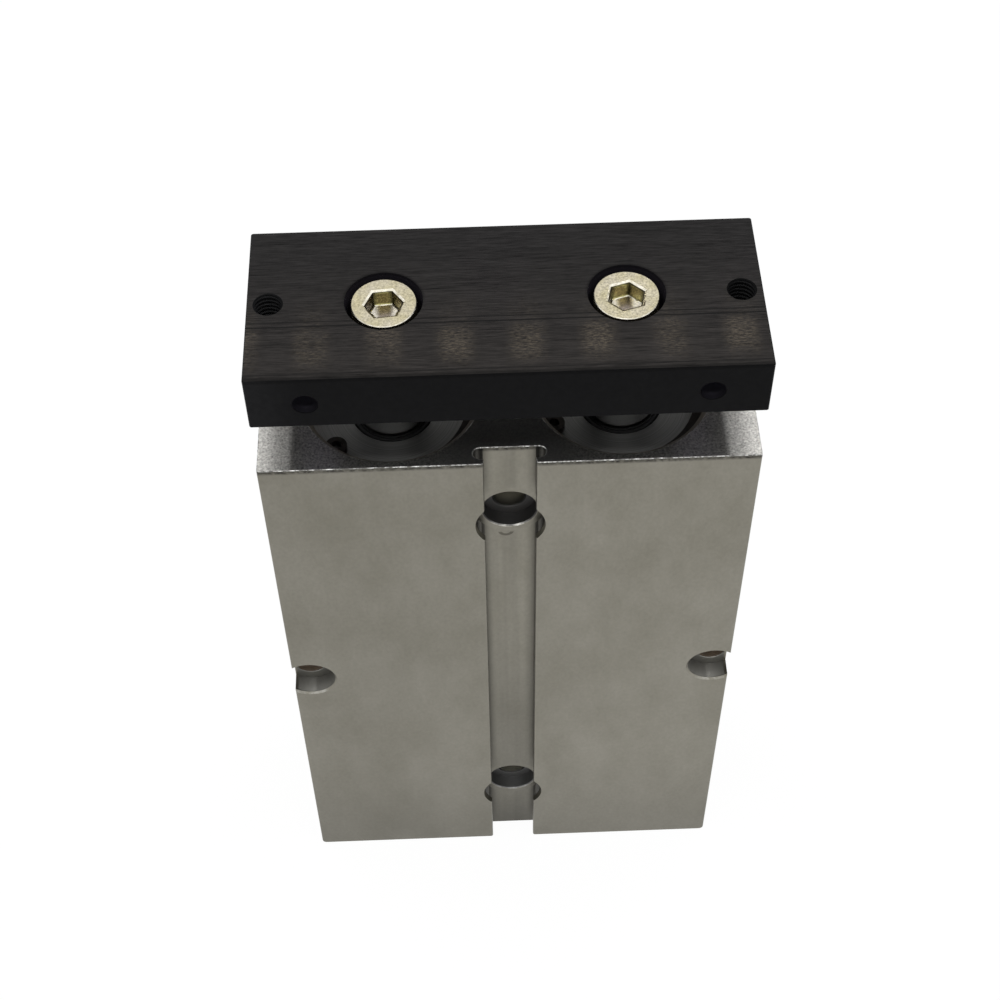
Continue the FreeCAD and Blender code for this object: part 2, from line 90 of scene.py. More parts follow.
def make_camera():
    """Camera of the photograph, from a fit to the corners and holes seen there."""
    elevation, yaw, roll = (math.radians(a) for a in (52.02, 1.39, 0.88))
    aside, above, away = 1.59 * MM, 5.77 * MM, 291.69 * MM
    focal_px, image_px, sensor = 1850.29, 1000.0, 36.0
    nearest = 0.01
    pivot = Vector((0, BARREL_LOW.y, BARREL_HIGH.z))
    level = Vector((math.cos(yaw), -math.sin(yaw), 0))
    ahead = Vector((math.sin(yaw), math.cos(yaw), 0))
    up = Vector((0, 0, 1))
    forward = ahead * math.cos(elevation) - up * math.sin(elevation)
    upright = ahead * math.sin(elevation) + up * math.cos(elevation)
    right = level * math.cos(roll) - upright * math.sin(roll)
    top = level * math.sin(roll) + upright * math.cos(roll)
    place = pivot - right * aside - top * above - forward * away
    data = bpy.data.cameras.new("camera")
    data.sensor_width = sensor
    data.lens = focal_px / image_px * sensor
    data.clip_start = nearest
    camera = bpy.data.objects.new("camera", data)
    turn = Matrix((right, top, -forward)).transposed().to_4x4()
    camera.matrix_world = Matrix.Translation(place) @ turn
    bpy.context.scene.collection.objects.link(camera)
    bpy.context.scene.camera = camera


def white_to_eye(tree):
    """1 for rays that show the background: those of the camera, of gloss and of glass."""
    path = tree.nodes.new("ShaderNodeLightPath")
    total = path.outputs["Is Camera Ray"]
    for name in ("Is Glossy Ray", "Is Transmission Ray"):
        join = tree.nodes.new("ShaderNodeMath")
        join.operation = "MAXIMUM"
        tree.links.new(total, join.inputs[0])
        tree.links.new(path.outputs[name], join.inputs[1])
        total = join.outputs[0]
    return total


def mix_shaders(tree, share, first, second, out):
    """Join two shaders by a share of the second, into an output node."""
    mix = tree.nodes.new("ShaderNodeMixShader")
    tree.links.new(share, mix.inputs["Fac"])
    tree.links.new(first.outputs[0], mix.inputs[1])
    tree.links.new(second.outputs[0], mix.inputs[2])
    tree.links.new(mix.outputs[0], out.inputs["Surface"])


def floor_material():
    """White that keeps a faint shadow."""
    white, shadowless = (0.95, 0.95, 0.95, 1), 0.965
    material = bpy.data.materials.new("floor_white")
    material.use_nodes = True
    tree = material.node_tree
    tree.nodes.clear()
    out = tree.nodes.new("ShaderNodeOutputMaterial")
    diffuse = tree.nodes.new("ShaderNodeBsdfDiffuse")
    diffuse.inputs["Color"].default_value = white
    glow = tree.nodes.new("ShaderNodeEmission")
    share = tree.nodes.new("ShaderNodeMath")
    share.operation = "MULTIPLY"
    share.inputs[1].default_value = shadowless
    tree.links.new(white_to_eye(tree), share.inputs[0])
    mix_shaders(tree, share.outputs[0], diffuse, glow, out)
    return material


def make_floor():
    """Plain white floor just below the cylinder."""
    half, below = 3.0, 0.2 * MM
    mesh = bpy.data.meshes.new("floor")
    corners = [(x, y, -below) for x, y in ((-half, -half), (half, -half), (half, half), (-half, half))]
    mesh.from_pydata(corners, [], [(0, 1, 2, 3)])
    mesh.materials.append(floor_material())
    floor = bpy.data.objects.new("floor", mesh)
    bpy.context.scene.collection.objects.link(floor)


def make_world():
    """White surroundings that give a soft light."""
    white, soft_strength, seen_strength = (1, 1, 1, 1), 0.4, 1.0
    world = bpy.data.worlds.new("studio")
    bpy.context.scene.world = world
    world.use_nodes = True
    tree = world.node_tree
    tree.nodes.clear()
    out = tree.nodes.new("ShaderNodeOutputWorld")
    shades = []
    for strength in (soft_strength, seen_strength):
        shade = tree.nodes.new("ShaderNodeBackground")
        shade.inputs["Color"].default_value = white
        shade.inputs["Strength"].default_value = strength
        shades.append(shade)
    mix_shaders(tree, white_to_eye(tree), shades[0], shades[1], out)


def make_softbox(name, place, target, width, height, watts):
    """Rectangular lamp that faces a target and doesn't show itself."""
    data = bpy.data.lights.new(name, "AREA")
    data.shape = "RECTANGLE"
    data.size, data.size_y = width, height
    data.energy = watts
    lamp = bpy.data.objects.new(name, data)
    lamp.location = place
    lamp.rotation_mode = "QUATERNION"
    lamp.rotation_quaternion = (Vector(target) - Vector(place)).to_track_quat("-Z", "Y")
    lamp.visible_camera = False
    bpy.context.scene.collection.objects.link(lamp)


def make_strip_lamps():
    """Two long lamps high beside the cylinder and one in front, which shine in under the end plate."""
    target = Vector((0, 0, BARREL_HIGH.z))
    away, length, width = 1.4, 1.4, 0.1
    behind = Vector((0, 0.3, 0))
    side_tilt, front_tilt = math.radians(63), math.radians(68)
    side_watts, front_watts = 10.0, 9.0
    for name, side in (("strip_left", -1), ("strip_right", 1)):
        aim = target + behind
        place = aim + away * Vector((side * math.cos(side_tilt), 0, math.sin(side_tilt)))
        make_softbox(name, place, aim, length, width, side_watts)
    place = target + away * Vector((0, -math.cos(front_tilt), math.sin(front_tilt)))
    make_softbox("strip_front", place, target, length, width, front_watts)


# Node graphs


class Graph:
    """Short hand for one material's node tree around a single principled shader."""

    def __init__(self, name):
        self.material = bpy.data.materials.new(name)
        self.material.use_nodes = True
        self.tree = self.material.node_tree
        self.tree.nodes.clear()
        out = self.tree.nodes.new("ShaderNodeOutputMaterial")
        self.shader = self.tree.nodes.new("ShaderNodeBsdfPrincipled")
        self.tree.links.new(self.shader.outputs[0], out.inputs["Surface"])
        coords = self.tree.nodes.new("ShaderNodeTexCoord")
        self.place = coords.outputs["Object"]
        self.facing = coords.outputs["Normal"]

    def put(self, value, socket):
        if isinstance(value, bpy.types.NodeSocket):
            self.tree.links.new(value, socket)
        else:
            socket.default_value = value

    def math(self, operation, a, b=0.0, clamp=False):
        node = self.tree.nodes.new("ShaderNodeMath")
        node.operation = operation
        node.use_clamp = clamp
        self.put(a, node.inputs[0])
        self.put(b, node.inputs[1])
        return node.outputs[0]

    def absolute(self, value):
        return self.math("ABSOLUTE", value)

    def minus(self, a, b, clamp=False):
        return self.math("SUBTRACT", a, b, clamp)

    def product(self, first, *others):
        """All of the values multiplied."""
        for other in others:
            first = self.math("MULTIPLY", first, other)
        return first

    def distance(self, a, b):
        """Length of the diagonal over two lengths at right angles."""
        square = self.math("ADD", self.product(a, a), self.product(b, b))
        return self.math("SQRT", square)

    def axes(self, vector):
        node = self.tree.nodes.new("ShaderNodeSeparateXYZ")
        self.put(vector, node.inputs[0])
        return node.outputs

    def by_place(self, operation, vector):
        """The object's own coordinates in metres, with a fixed vector taken from them or multiplied in."""
        node = self.tree.nodes.new("ShaderNodeVectorMath")
        node.operation = operation
        self.put(self.place, node.inputs[0])
        node.inputs[1].default_value = vector
        return node.outputs[0]

    def from_bore(self):
        """Distance from the axis of the nearer bore along X."""
        return self.minus(self.absolute(self.axes(self.place)[0]), BORE_X)

    def bore_radius(self):
        """Distance from the axis of the nearer bore, which rod, gland and plate screw share."""
        return self.distance(self.from_bore(), self.axes(self.place)[1])

    def noise(self, per_metre, detail, roughness):
        """Fractal noise from 0 to 1 with that many features to the metre, on all axes or on each."""
        factors = per_metre if isinstance(per_metre, tuple) else (per_metre,) * 3
        node = self.tree.nodes.new("ShaderNodeTexNoise")
        self.put(self.by_place("MULTIPLY", factors), node.inputs["Vector"])
        node.inputs["Scale"].default_value = 1.0
        node.inputs["Detail"].default_value = detail
        node.inputs["Roughness"].default_value = roughness
        return node.outputs["Fac"]

    def map_range(self, kind, value, low, high, start, end):
        node = self.tree.nodes.new("ShaderNodeMapRange")
        node.interpolation_type = kind
        self.put(value, node.inputs["Value"])
        for name, number in (("From Min", low), ("From Max", high), ("To Min", start), ("To Max", end)):
            node.inputs[name].default_value = number
        return node.outputs["Result"]

    def fade(self, value, low, high, start=0.0, end=1.0):
        """Smooth step: start below low, end above high."""
        return self.map_range("SMOOTHSTEP", value, low, high, start, end)

    def spread(self, value, start=0.0, end=1.0):
        """Noise's middle range, stretched to run from start to end."""
        noise_low, noise_high = 0.3, 0.7
        return self.map_range("LINEAR", value, noise_low, noise_high, start, end)

    def around(self, value, middle, reach):
        """1 at a middle value, fading to 0 at that reach on both sides."""
        full = 0.7 * reach
        return self.fade(self.absolute(self.minus(value, middle)), full, reach, start=1.0, end=0.0)

    def mix(self, share, a, b):
        node = self.tree.nodes.new("ShaderNodeMix")
        node.data_type = "RGBA"
        self.put(share, node.inputs[0])
        self.put(a, node.inputs[6])
        self.put(b, node.inputs[7])
        return node.outputs[2]

    def tint(self, colour, factor):
        """Colour times a grey factor."""
        node = self.tree.nodes.new("ShaderNodeVectorMath")
        node.operation = "SCALE"
        self.put(colour, node.inputs[0])
        self.put(factor, node.inputs["Scale"])
        return node.outputs[0]

    def bump(self, height, distance, below=None):
        """Relief whose height runs over distance, in metres."""
        node = self.tree.nodes.new("ShaderNodeBump")
        node.inputs["Strength"].default_value = 1.0
        node.inputs["Distance"].default_value = distance
        self.put(height, node.inputs["Height"])
        if below is not None:
            self.put(below, node.inputs["Normal"])
        return node.outputs[0]

    def set(self, **values):
        for name, value in values.items():
            self.put(value, self.shader.inputs[name.replace("_", " ").title().replace("Ior", "IOR")])
        return self.material


def rgb(red, green, blue):
    """Linear colour from 0 to 255 sRGB numbers."""
    linear = []
    for value in (red, green, blue):
        share = value / 255
        linear.append(share / 12.92 if share <= 0.04045 else ((share + 0.055) / 1.055) ** 2.4)
    return (*linear, 1.0)


# Material of the barrel


def barrel_places(g):
    """Where a point of the barrel lies and how it faces, for the shares that its finishes take."""
    half = (BARREL_HIGH - BARREL_LOW) / 2
    middle = (BARREL_LOW + BARREL_HIGH) / 2
    rear_end, front_start = 40 * MM, 90 * MM
    sheltered_full, sheltered_reach = 6 * MM, 16 * MM
    x, y, z = (g.absolute(axis) for axis in g.axes(g.by_place("SUBTRACT", middle)))
    at = SimpleNamespace(x=x, y=y)
    at.across, at.back, at.height = g.axes(g.place)
    sideways, outward, at.upward = g.axes(g.facing)
    at.sideways, at.outward, at.level = (g.absolute(axis) for axis in (sideways, outward, at.upward))
    at.below_end = g.minus(half.z, z)
    at.below_face = g.minus(half.y, y)
    below_sides = g.math("MINIMUM", at.below_face, g.minus(half.x, x))
    at.below_skin = g.math("MINIMUM", below_sides, at.below_end)
    at.beside_slot = g.fade(x, SLOT_HALF, SLOT_HALF + 2 * HAIR)
    at.near_end = g.fade(at.below_end, MOUTH_CHAMFER + HAIR, MOUTH_CHAMFER)
    at.front_half = g.fade(at.height, rear_end, front_start)
    # Between the bores the end faces take painted shade from the end plate above
    at.between_bores = g.fade(g.absolute(at.across), sheltered_full, sheltered_reach, start=1.0, end=0.0)
    return at


def slot_places(g, at):
    """Shares of the sensor slot: clear of its spot faces, its drawn floor, and the floor that shows."""
    bolts = MOUNTS["slot_bolts"]
    half_spacing = bolts["dims"]["spacing_y_mm"] / 2 * MM
    flat_from, flat_to = 0.9, 0.95
    along = g.minus(g.absolute(g.minus(at.height, bolts["pos_m"][2])), half_spacing)
    slot = SimpleNamespace()
    slot.clear = g.fade(g.distance(along, at.x), SPOTFACE_REACH, SPOTFACE_REACH + HAIR)
    floor = g.fade(at.y, SLOT_FLOOR + 2 * HAIR, SLOT_FLOOR + HAIR)
    floor = g.product(floor, g.fade(at.outward, flat_from, flat_to))
    slot.drawn = g.product(floor, slot.clear)
    slot.shown = g.product(floor, g.fade(at.x, SLOT_MOUTH, SLOT_MOUTH - 2 * HAIR))
    return slot


def cut_end(g, at):
    """Share of the barrel that is a flat end face."""
    flat_from, flat_to = 0.9, 0.97
    skin, below = 0.02 * MM, 0.06 * MM
    return g.product(g.fade(at.level, flat_from, flat_to), g.fade(at.below_end, below, skin))


def machined_inside(g, at):
    """Share of the barrel that is a bore, a hole or a groove: below its skin and not in the drawn slot."""
    skin, below = 0.3 * MM, 0.6 * MM
    under_slot = g.fade(at.y, SLOT_FLOOR - HAIR, SLOT_FLOOR - 3 * HAIR)
    outside_slot = g.math("MAXIMUM", at.beside_slot, under_slot)
    return g.product(g.fade(at.below_skin, skin, below), outside_slot)


def barrel_skin(g, at, mottle):
    """Mottled colour of the anodised skin, darker towards the foot as painted shade, and a little paler to
    the right.
    """
    dark, pale = rgb(123, 120, 109), rgb(140, 137, 127)
    foot_low, foot_high, foot_shade_tint = -10 * MM, 36 * MM, 0.74
    side_reach, left_tint, right_tint = 30 * MM, 0.965, 1.04
    speckle_tints = (0.95, 1.05)
    speckle = g.noise((1500, 1500, 1100), detail=2.0, roughness=0.6)
    colour = g.mix(g.spread(mottle), dark, pale)
    colour = g.tint(colour, g.spread(speckle, *speckle_tints))
    # Painted shade: the skin darkens towards the foot
    colour = g.tint(colour, g.fade(at.height, foot_low, foot_high, start=foot_shade_tint))
    return g.tint(colour, g.fade(at.across, -side_reach, side_reach, left_tint, right_tint))


def slot_dent_shade(g, at, slot):
    """Share of the slot floor taken by a dark arc just below the front slot hole: painted shade along the
    lower rim of a small dent.
    """
    reach, line = 1.06 * MM, 0.34 * MM
    aside, middle = -0.67 * MM, 101.95 * MM
    lower_from, lower_to = -0.1 * MM, -0.5 * MM
    front_from, front_to = -1.0 * MM, -2.0 * MM
    x = g.minus(at.across, aside)
    z = g.minus(at.height, middle)
    arc = g.around(g.distance(x, z), reach, line)
    lower_half = g.fade(z, lower_from, lower_to)
    front_slot = g.fade(at.back, front_from, front_to)
    return g.product(arc, lower_half, slot.drawn, front_slot)


def slot_floor_colour(g, at, slot, colour):
    """The slot's floor: dimmer towards the rear end and darker at the foot as painted shade, streaked where
    it was drawn, with the painted shade of one small dent.
    """
    dim_low, dim_high, rear_shade_tint = 30 * MM, 85 * MM, 0.77
    foot_high, foot_shade_tint = 15 * MM, 0.68
    streak_tints = (0.88, 1.1)
    # The mark's colour here is painted shade along the lower rim of a small dent
    mark_colour, mark_strength = rgb(66, 62, 55), 0.65
    streaks = g.noise((420, 420, 9), detail=2.0, roughness=0.6)
    # Painted shade: the floor dims towards the rear end and darker still at the foot
    shaded_floor = g.tint(colour, g.fade(at.height, dim_low, dim_high, start=rear_shade_tint))
    shaded_floor = g.tint(shaded_floor, g.fade(at.height, 0.0, foot_high, start=foot_shade_tint))
    colour = g.mix(slot.shown, colour, shaded_floor)
    streaked = g.tint(colour, g.spread(streaks, *streak_tints))
    colour = g.mix(g.product(slot.shown, slot.clear), colour, streaked)
    return g.mix(g.product(slot_dent_shade(g, at, slot), mark_strength), colour, mark_colour)


def dark_line_below_front(g, at, edge_breakup, colour):
    """Dark, broken line round the barrel just below its front end."""
    line_core, line_reach, line_colour = 0.45 * MM, 1.15 * MM, rgb(42, 40, 38)
    breakup_shares = (0.3, 1.1)
    below_front = g.minus(BARREL_HIGH.z, at.height)
    line = g.fade(below_front, line_core, line_reach, start=1.0, end=0.0)
    return g.mix(g.product(line, g.spread(edge_breakup, *breakup_shares)), colour, line_colour)


def slot_corner_colour(g, at, slot, colour):
    """Shade along the sides of the slot's floor, weaker towards the front."""
    start, full = SLOT_MOUTH - 1.8 * MM, SLOT_MOUTH + 0.2 * MM
    stop, end = SLOT_MOUTH + 0.3 * MM, SLOT_MOUTH + 0.4 * MM
    low, high = 0.3 * BARREL_HIGH.z, BARREL_HIGH.z
    rear_strength, front_strength, corner_colour = 0.25, 0.12, rgb(60, 58, 54)
    strength = g.fade(at.height, low, high, rear_strength, front_strength)
    corner = g.product(slot.drawn, g.fade(at.x, start, full), g.fade(at.x, end, stop), strength)
    return g.mix(corner, colour, corner_colour)


def slot_lip_colour(g, at, slot, colour):
    """Shade under the slot's lips, darkest near the front end and in the rounded sides."""
    rear_shade, front_shade, round_shade = rgb(88, 86, 80), rgb(40, 39, 37), rgb(46, 45, 42)
    front_low, front_high = 114 * MM, 119 * MM
    round_from, round_to = 0.1, 0.5
    strength = 0.9
    shade = g.mix(g.fade(at.height, front_low, front_high), rear_shade, front_shade)
    shade = g.mix(g.fade(at.sideways, round_from, round_to), shade, round_shade)
    past_mouth = g.fade(at.x, SLOT_MOUTH, SLOT_MOUTH + 2 * HAIR)
    in_slot = g.fade(at.x, SLOT_HALF, SLOT_HALF - HAIR)
    below_lip = g.fade(at.below_face, SLOT_LIP - HAIR, SLOT_LIP + HAIR)
    return g.mix(g.product(slot.clear, past_mouth, in_slot, below_lip, strength), colour, shade)


def side_hole_colour(g, at, machined, colour):
    """Side mounting holes: grey counterbores, paler at the mouth, and a warmer hole past their floors. The
    counterbores' lighter grey is painted light, for light that enters from the side.
    """
    wall, lit_mouth_wall, through = rgb(120, 119, 114), rgb(138, 137, 132), rgb(184, 169, 152)
    mouth_depth = 0.4 * MM
    # Painted light: the counterbore walls are lighter than the machined grey, paler still at the mouth
    hole = g.product(machined, g.fade(at.x, SIDE_HOLE_X, SIDE_HOLE_X + HAIR))
    lit_near_mouth = g.fade(at.below_face, mouth_depth, SIDE_HOLE_DEPTH, start=1.0, end=0.0)
    past_floor = g.fade(at.below_face, SIDE_HOLE_DEPTH + 2 * HAIR, SIDE_HOLE_DEPTH + 4 * HAIR)
    inside = g.mix(past_floor, g.mix(lit_near_mouth, wall, lit_mouth_wall), through)
    return g.mix(hole, colour, inside)


def slot_hole_colour(g, at, machined, colour):
    """Slot mounting holes: grey counterbores, darker in the front hole, a dark bevel in their floors, and
    the hole past it, pale but in the front hole dark near the bevel. The dark tones are painted shade and
    the pale hole is painted light, where light comes through.
    """
    rear_bore, front_bore_shade, floor_bevel_shade = rgb(110, 110, 109), rgb(85, 84, 83), rgb(68, 67, 66)
    rear_through_lit = rgb(192, 190, 179)
    front_through_shade, front_through_lit = rgb(104, 103, 96), rgb(200, 197, 186)
    in_slot = g.fade(at.x, SLOT_HALF + 2 * HAIR, SLOT_HALF)
    bore = g.product(machined, in_slot, g.fade(at.y, THROUGH_START, THROUGH_START + HAIR))
    floor_edge = g.product(bore, g.fade(at.y, SLOT_HOLE_FLOOR + HAIR, SLOT_HOLE_FLOOR))
    # Painted shade darkens the front counterbore and the bevels in the floors
    colour = g.mix(bore, colour, g.mix(at.front_half, rear_bore, front_bore_shade))
    colour = g.mix(floor_edge, colour, floor_bevel_shade)
    # Painted light makes the hole past the bevel pale
    past_bevel = g.fade(at.y, THROUGH_START + HAIR, THROUGH_START)
    through = g.product(g.fade(at.x, THROUGH_REACH + HAIR, THROUGH_REACH), past_bevel)
    far_in = g.fade(at.y, THROUGH_START, THROUGH_FAR)
    front_through = g.mix(far_in, front_through_shade, front_through_lit)
    return g.mix(through, colour, g.mix(at.front_half, rear_through_lit, front_through))


def hole_bevel_colour(g, at, colour):
    """Bright bevels at the lower edges of the mounting holes' mouths: a painted highlight on the bevels
    that face up, brighter at the front slot hole, broken up by noise.
    """
    rear_slot, front_slot, side = rgb(176, 176, 174), rgb(228, 227, 220), rgb(180, 179, 172)
    tolerance = 0.02
    bevel_breakup_shares = (-0.2, 0.9)
    up_from, up_to = 0.45, 0.69
    clear_low, clear_high = SLOT_HOLE_FLOOR + 0.5 * MM, SLOT_HOLE_FLOOR + 1.0 * MM
    bevel_breakup = g.noise(600, detail=3.0, roughness=0.7)
    bevel = g.product(
        g.around(at.outward, BEVEL_FACING, tolerance),
        g.minus(1.0, at.near_end),
        g.fade(at.upward, up_from, up_to),
        g.fade(at.y, clear_low, clear_high),
    )
    # Painted highlight on the upward-facing bevels, broken up by noise
    slot_bevel = g.mix(at.front_half, rear_slot, front_slot)
    patchy_highlight = g.product(bevel, g.spread(bevel_breakup, *bevel_breakup_shares))
    return g.mix(patchy_highlight, colour, g.mix(at.beside_slot, slot_bevel, side))


def end_bevel_colour(g, at, edge_breakup, colour):
    """Dull chamfers at the bores' mouths, and a bright bevel round the front end, a painted highlight
    broken up by noise.
    """
    mouth_colour, dull, bright = rgb(84, 78, 70), rgb(92, 91, 88), rgb(238, 238, 234)
    tolerance, edge_width = 0.02, 0.02 * MM
    breakup_shares = (-0.5, 1.0)
    sloping = g.around(at.level, BEVEL_FACING, tolerance)
    end_edge = g.fade(at.below_end, END_CHAMFER + edge_width, END_CHAMFER)
    mouth = g.product(sloping, g.minus(at.near_end, end_edge))
    colour = g.mix(mouth, colour, mouth_colour)
    # Painted highlight along the end bevel, broken up by noise
    broken_highlight = g.mix(g.spread(edge_breakup, *breakup_shares), dull, bright)
    return g.mix(g.product(sloping, end_edge), colour, broken_highlight)


def blasted_colour(g, at):
    """Grainy colour of the blasted end faces, smoother and greyer between the bores, where the grey is
    painted shade from the end plate above.
    """
    dark, pale, smooth = rgb(132, 130, 127), rgb(228, 226, 221), rgb(154, 153, 152)
    plate_shade_strength = 0.75
    grain = g.noise(2700, detail=3.0, roughness=0.75)
    # The smooth grey between the bores is painted shade from the end plate
    return g.mix(g.product(at.between_bores, plate_shade_strength), g.mix(g.spread(grain), dark, pale), smooth)


def barrel_aluminium():
    """Clear anodised extrusion: mottled satin sides, blasted ends, matt grey holes and bright bevels. The
    bevels' brightness is a painted highlight, and the slot, the holes, the foot and the end faces between
    the bores carry painted shade and light.
    """
    machined_colour = rgb(108, 108, 110)
    skin_smooth, skin_rough, machined_rougher, cut_rough = 0.36, 0.44, 0.16, 0.28
    line_depth, pit_depth = 0.004 * MM, 0.012 * MM
    g = Graph("barrel_aluminium")
    at = barrel_places(g)
    slot = slot_places(g, at)
    cut = cut_end(g, at)
    machined = machined_inside(g, at)
    mottle = g.noise((110, 110, 60), detail=5.0, roughness=0.65)
    edge_breakup = g.noise(1400, detail=3.0, roughness=0.7)
    lines = g.noise((2500, 2500, 12), detail=2.0, roughness=0.6)
    pits = g.noise(5200, detail=4.0, roughness=0.85)

    colour = barrel_skin(g, at, mottle)
    colour = slot_floor_colour(g, at, slot, colour)
    # Draws a dark, broken line just below the front end
    colour = dark_line_below_front(g, at, edge_breakup, colour)
    colour = slot_corner_colour(g, at, slot, colour)
    colour = slot_lip_colour(g, at, slot, colour)
    colour = g.mix(machined, colour, machined_colour)
    colour = side_hole_colour(g, at, machined, colour)
    colour = slot_hole_colour(g, at, machined, colour)
    colour = hole_bevel_colour(g, at, colour)
    colour = end_bevel_colour(g, at, edge_breakup, colour)
    colour = g.mix(cut, colour, blasted_colour(g, at))

    uncut = g.minus(1.0, cut)
    rough = g.math("ADD", g.spread(mottle, skin_smooth, skin_rough), g.product(machined, machined_rougher))
    rough = g.math("ADD", g.product(rough, uncut), g.product(cut, cut_rough))
    relief = g.bump(g.product(lines, uncut), line_depth)
    open_cut = g.minus(cut, at.between_bores, clamp=True)
    relief = g.bump(g.product(pits, open_cut), pit_depth, below=relief)
    return g.set(base_color=colour, metallic=1.0, roughness=rough, normal=relief)


# Materials of the end plate


def plate_black():
    """Black anodised aluminium, smooth on its edges and paler in the two cross holes."""
    dark, pale = rgb(13, 13, 14), rgb(17, 17, 18)
    hole_x = MOUNTS["plate_edge_holes"]["dims"]["spacing_x_mm"] / 2 * MM
    hole_reach, hole_far, hole_near, hole_end = 3.0 * MM, 11.5 * MM, 15.5 * MM, 15.6 * MM
    hole_inside, hole_mouth, recess_wall = rgb(84, 82, 92), rgb(25, 24, 28), rgb(33, 31, 36)
    left_reach, left_gain = 9 * MM, 2.1
    edge_low, edge_high, edge_tint = PLATE_HIGH.z - 0.7 * MM, PLATE_HIGH.z - 0.4 * MM, 0.6
    grain_depth = 0.004 * MM
    g = Graph("plate_black")
    across, back, height = g.axes(g.place)
    x, y = g.absolute(across), g.absolute(back)
    grain = g.noise(900, detail=3.0, roughness=0.6)
    colour = g.mix(g.spread(grain), dark, pale)
    in_hole = g.product(g.around(x, hole_x, hole_reach), g.fade(y, hole_end + 2 * HAIR, hole_end))
    colour = g.mix(in_hole, colour, g.mix(g.fade(y, hole_far, hole_near), hole_inside, hole_mouth))
    in_recess = g.fade(g.bore_radius(), SCREW_RECESS_REACH + HAIR, SCREW_RECESS_REACH)
    colour = g.mix(in_recess, colour, recess_wall)
    colour = g.tint(colour, g.fade(across, PLATE_LOW.x, PLATE_LOW.x + left_reach, start=left_gain))
    colour = g.tint(colour, g.fade(height, edge_low, edge_high, start=1.0, end=edge_tint))
    relief = g.bump(grain, grain_depth)
    return g.set(base_color=colour, roughness=0.42, specular_ior_level=0.03, normal=relief)


def cutter_marks(g, x, y):
    """Share of the plate's top taken by brownish flecks, in evenly spaced patches along its front half."""
    pitch, offset, narrowing = 10.87 * MM, 3.0 * MM, -0.6
    middle, step, front = 3.0 * MM, -5.2 * MM, -15.2 * MM
    step_width, front_width = 1.5 * MM, 5.0 * MM
    weak, strong = 0.35, 0.65
    uneven_shares = (0.2, 1.0)
    fleck_from, fleck_to = 0.4, 0.68
    turn = g.product(g.minus(x, offset), 2 * math.pi / pitch)
    patches = g.fade(g.math("COSINE", turn), narrowing, 1.0)
    behind_step = g.fade(y, middle, step, end=weak)
    before_step = g.fade(y, step, step - step_width, end=strong)
    strength = g.math("ADD", behind_step, before_step)
    off_edge = g.fade(y, front, front + front_width)
    uneven = g.spread(g.noise(150, detail=2.0, roughness=0.6), *uneven_shares)
    flecks = g.fade(g.noise((1000, 5600, 1000), detail=3.0, roughness=0.75), fleck_from, fleck_to)
    return g.product(patches, strength, off_edge, uneven, flecks)


def plate_top():
    """Milled top of the end plate: black with fine streaks, scored lines and brownish cutter marks."""
    front_black, back_black = rgb(34, 32, 31), rgb(28, 27, 27)
    mark_colour, mark_strength = rgb(84, 77, 67), 0.88
    edge_low, edge_high, edge_tint = PLATE_LOW.y + 0.5 * MM, PLATE_LOW.y + 0.9 * MM, 0.5
    mouth_width, mouth_shade, mouth_y = 0.55 * MM, 0.55, 2.0 * MM
    score_lines = ((-3.95 * MM, 0.7), (-4.9 * MM, 0.9), (-14.6 * MM, 0.6))
    score_core, score_reach, score_colour = 0.08 * MM, 0.2 * MM, rgb(12, 12, 12)
    fine_share, broad_share, streak_depth = 0.85, 0.15, 0.01 * MM
    streak_tints = (0.0, 2.0)
    g = Graph("plate_top_black")
    x, y, _ = g.axes(g.place)
    fine = g.noise((240, 6500, 240), detail=3.0, roughness=0.8)
    broad = g.noise((24, 900, 24), detail=2.0, roughness=0.5)
    streak = g.math("ADD", g.product(fine, fine_share), g.product(broad, broad_share))
    colour = g.mix(g.fade(y, PLATE_LOW.y, PLATE_HIGH.y), front_black, back_black)
    colour = g.tint(colour, g.spread(streak, *streak_tints))
    colour = g.mix(g.product(cutter_marks(g, x, y), mark_strength), colour, mark_colour)
    colour = g.tint(colour, g.fade(y, edge_low, edge_high, start=edge_tint))
    mouth_reach = SCREW_RECESS_REACH + mouth_width
    mouth = g.fade(g.bore_radius(), SCREW_RECESS_REACH, mouth_reach, start=mouth_shade, end=0.0)
    mouth = g.product(mouth, g.fade(y, -mouth_y, mouth_y))
    colour = g.tint(colour, g.minus(1.0, mouth))
    for line, share in score_lines:
        away = g.absolute(g.minus(y, line))
        colour = g.mix(g.fade(away, score_core, score_reach, start=share, end=0.0), colour, score_colour)
    relief = g.bump(streak, streak_depth)
    return g.set(base_color=colour, roughness=0.45, specular_ior_level=0.05, normal=relief)


# Material of the plate screws


def hexagon_reach(g, across, back, turn):
    """Distance from the middle of a hexagon, square to its nearest side, at a turn in degrees."""
    reach = 0.0
    for side in (30, 90, 150):
        angle = math.radians(side + turn)
        along = g.math("ADD", g.product(across, math.cos(angle)), g.product(back, math.sin(angle)))
        reach = g.math("MAXIMUM", reach, g.absolute(along))
    return reach


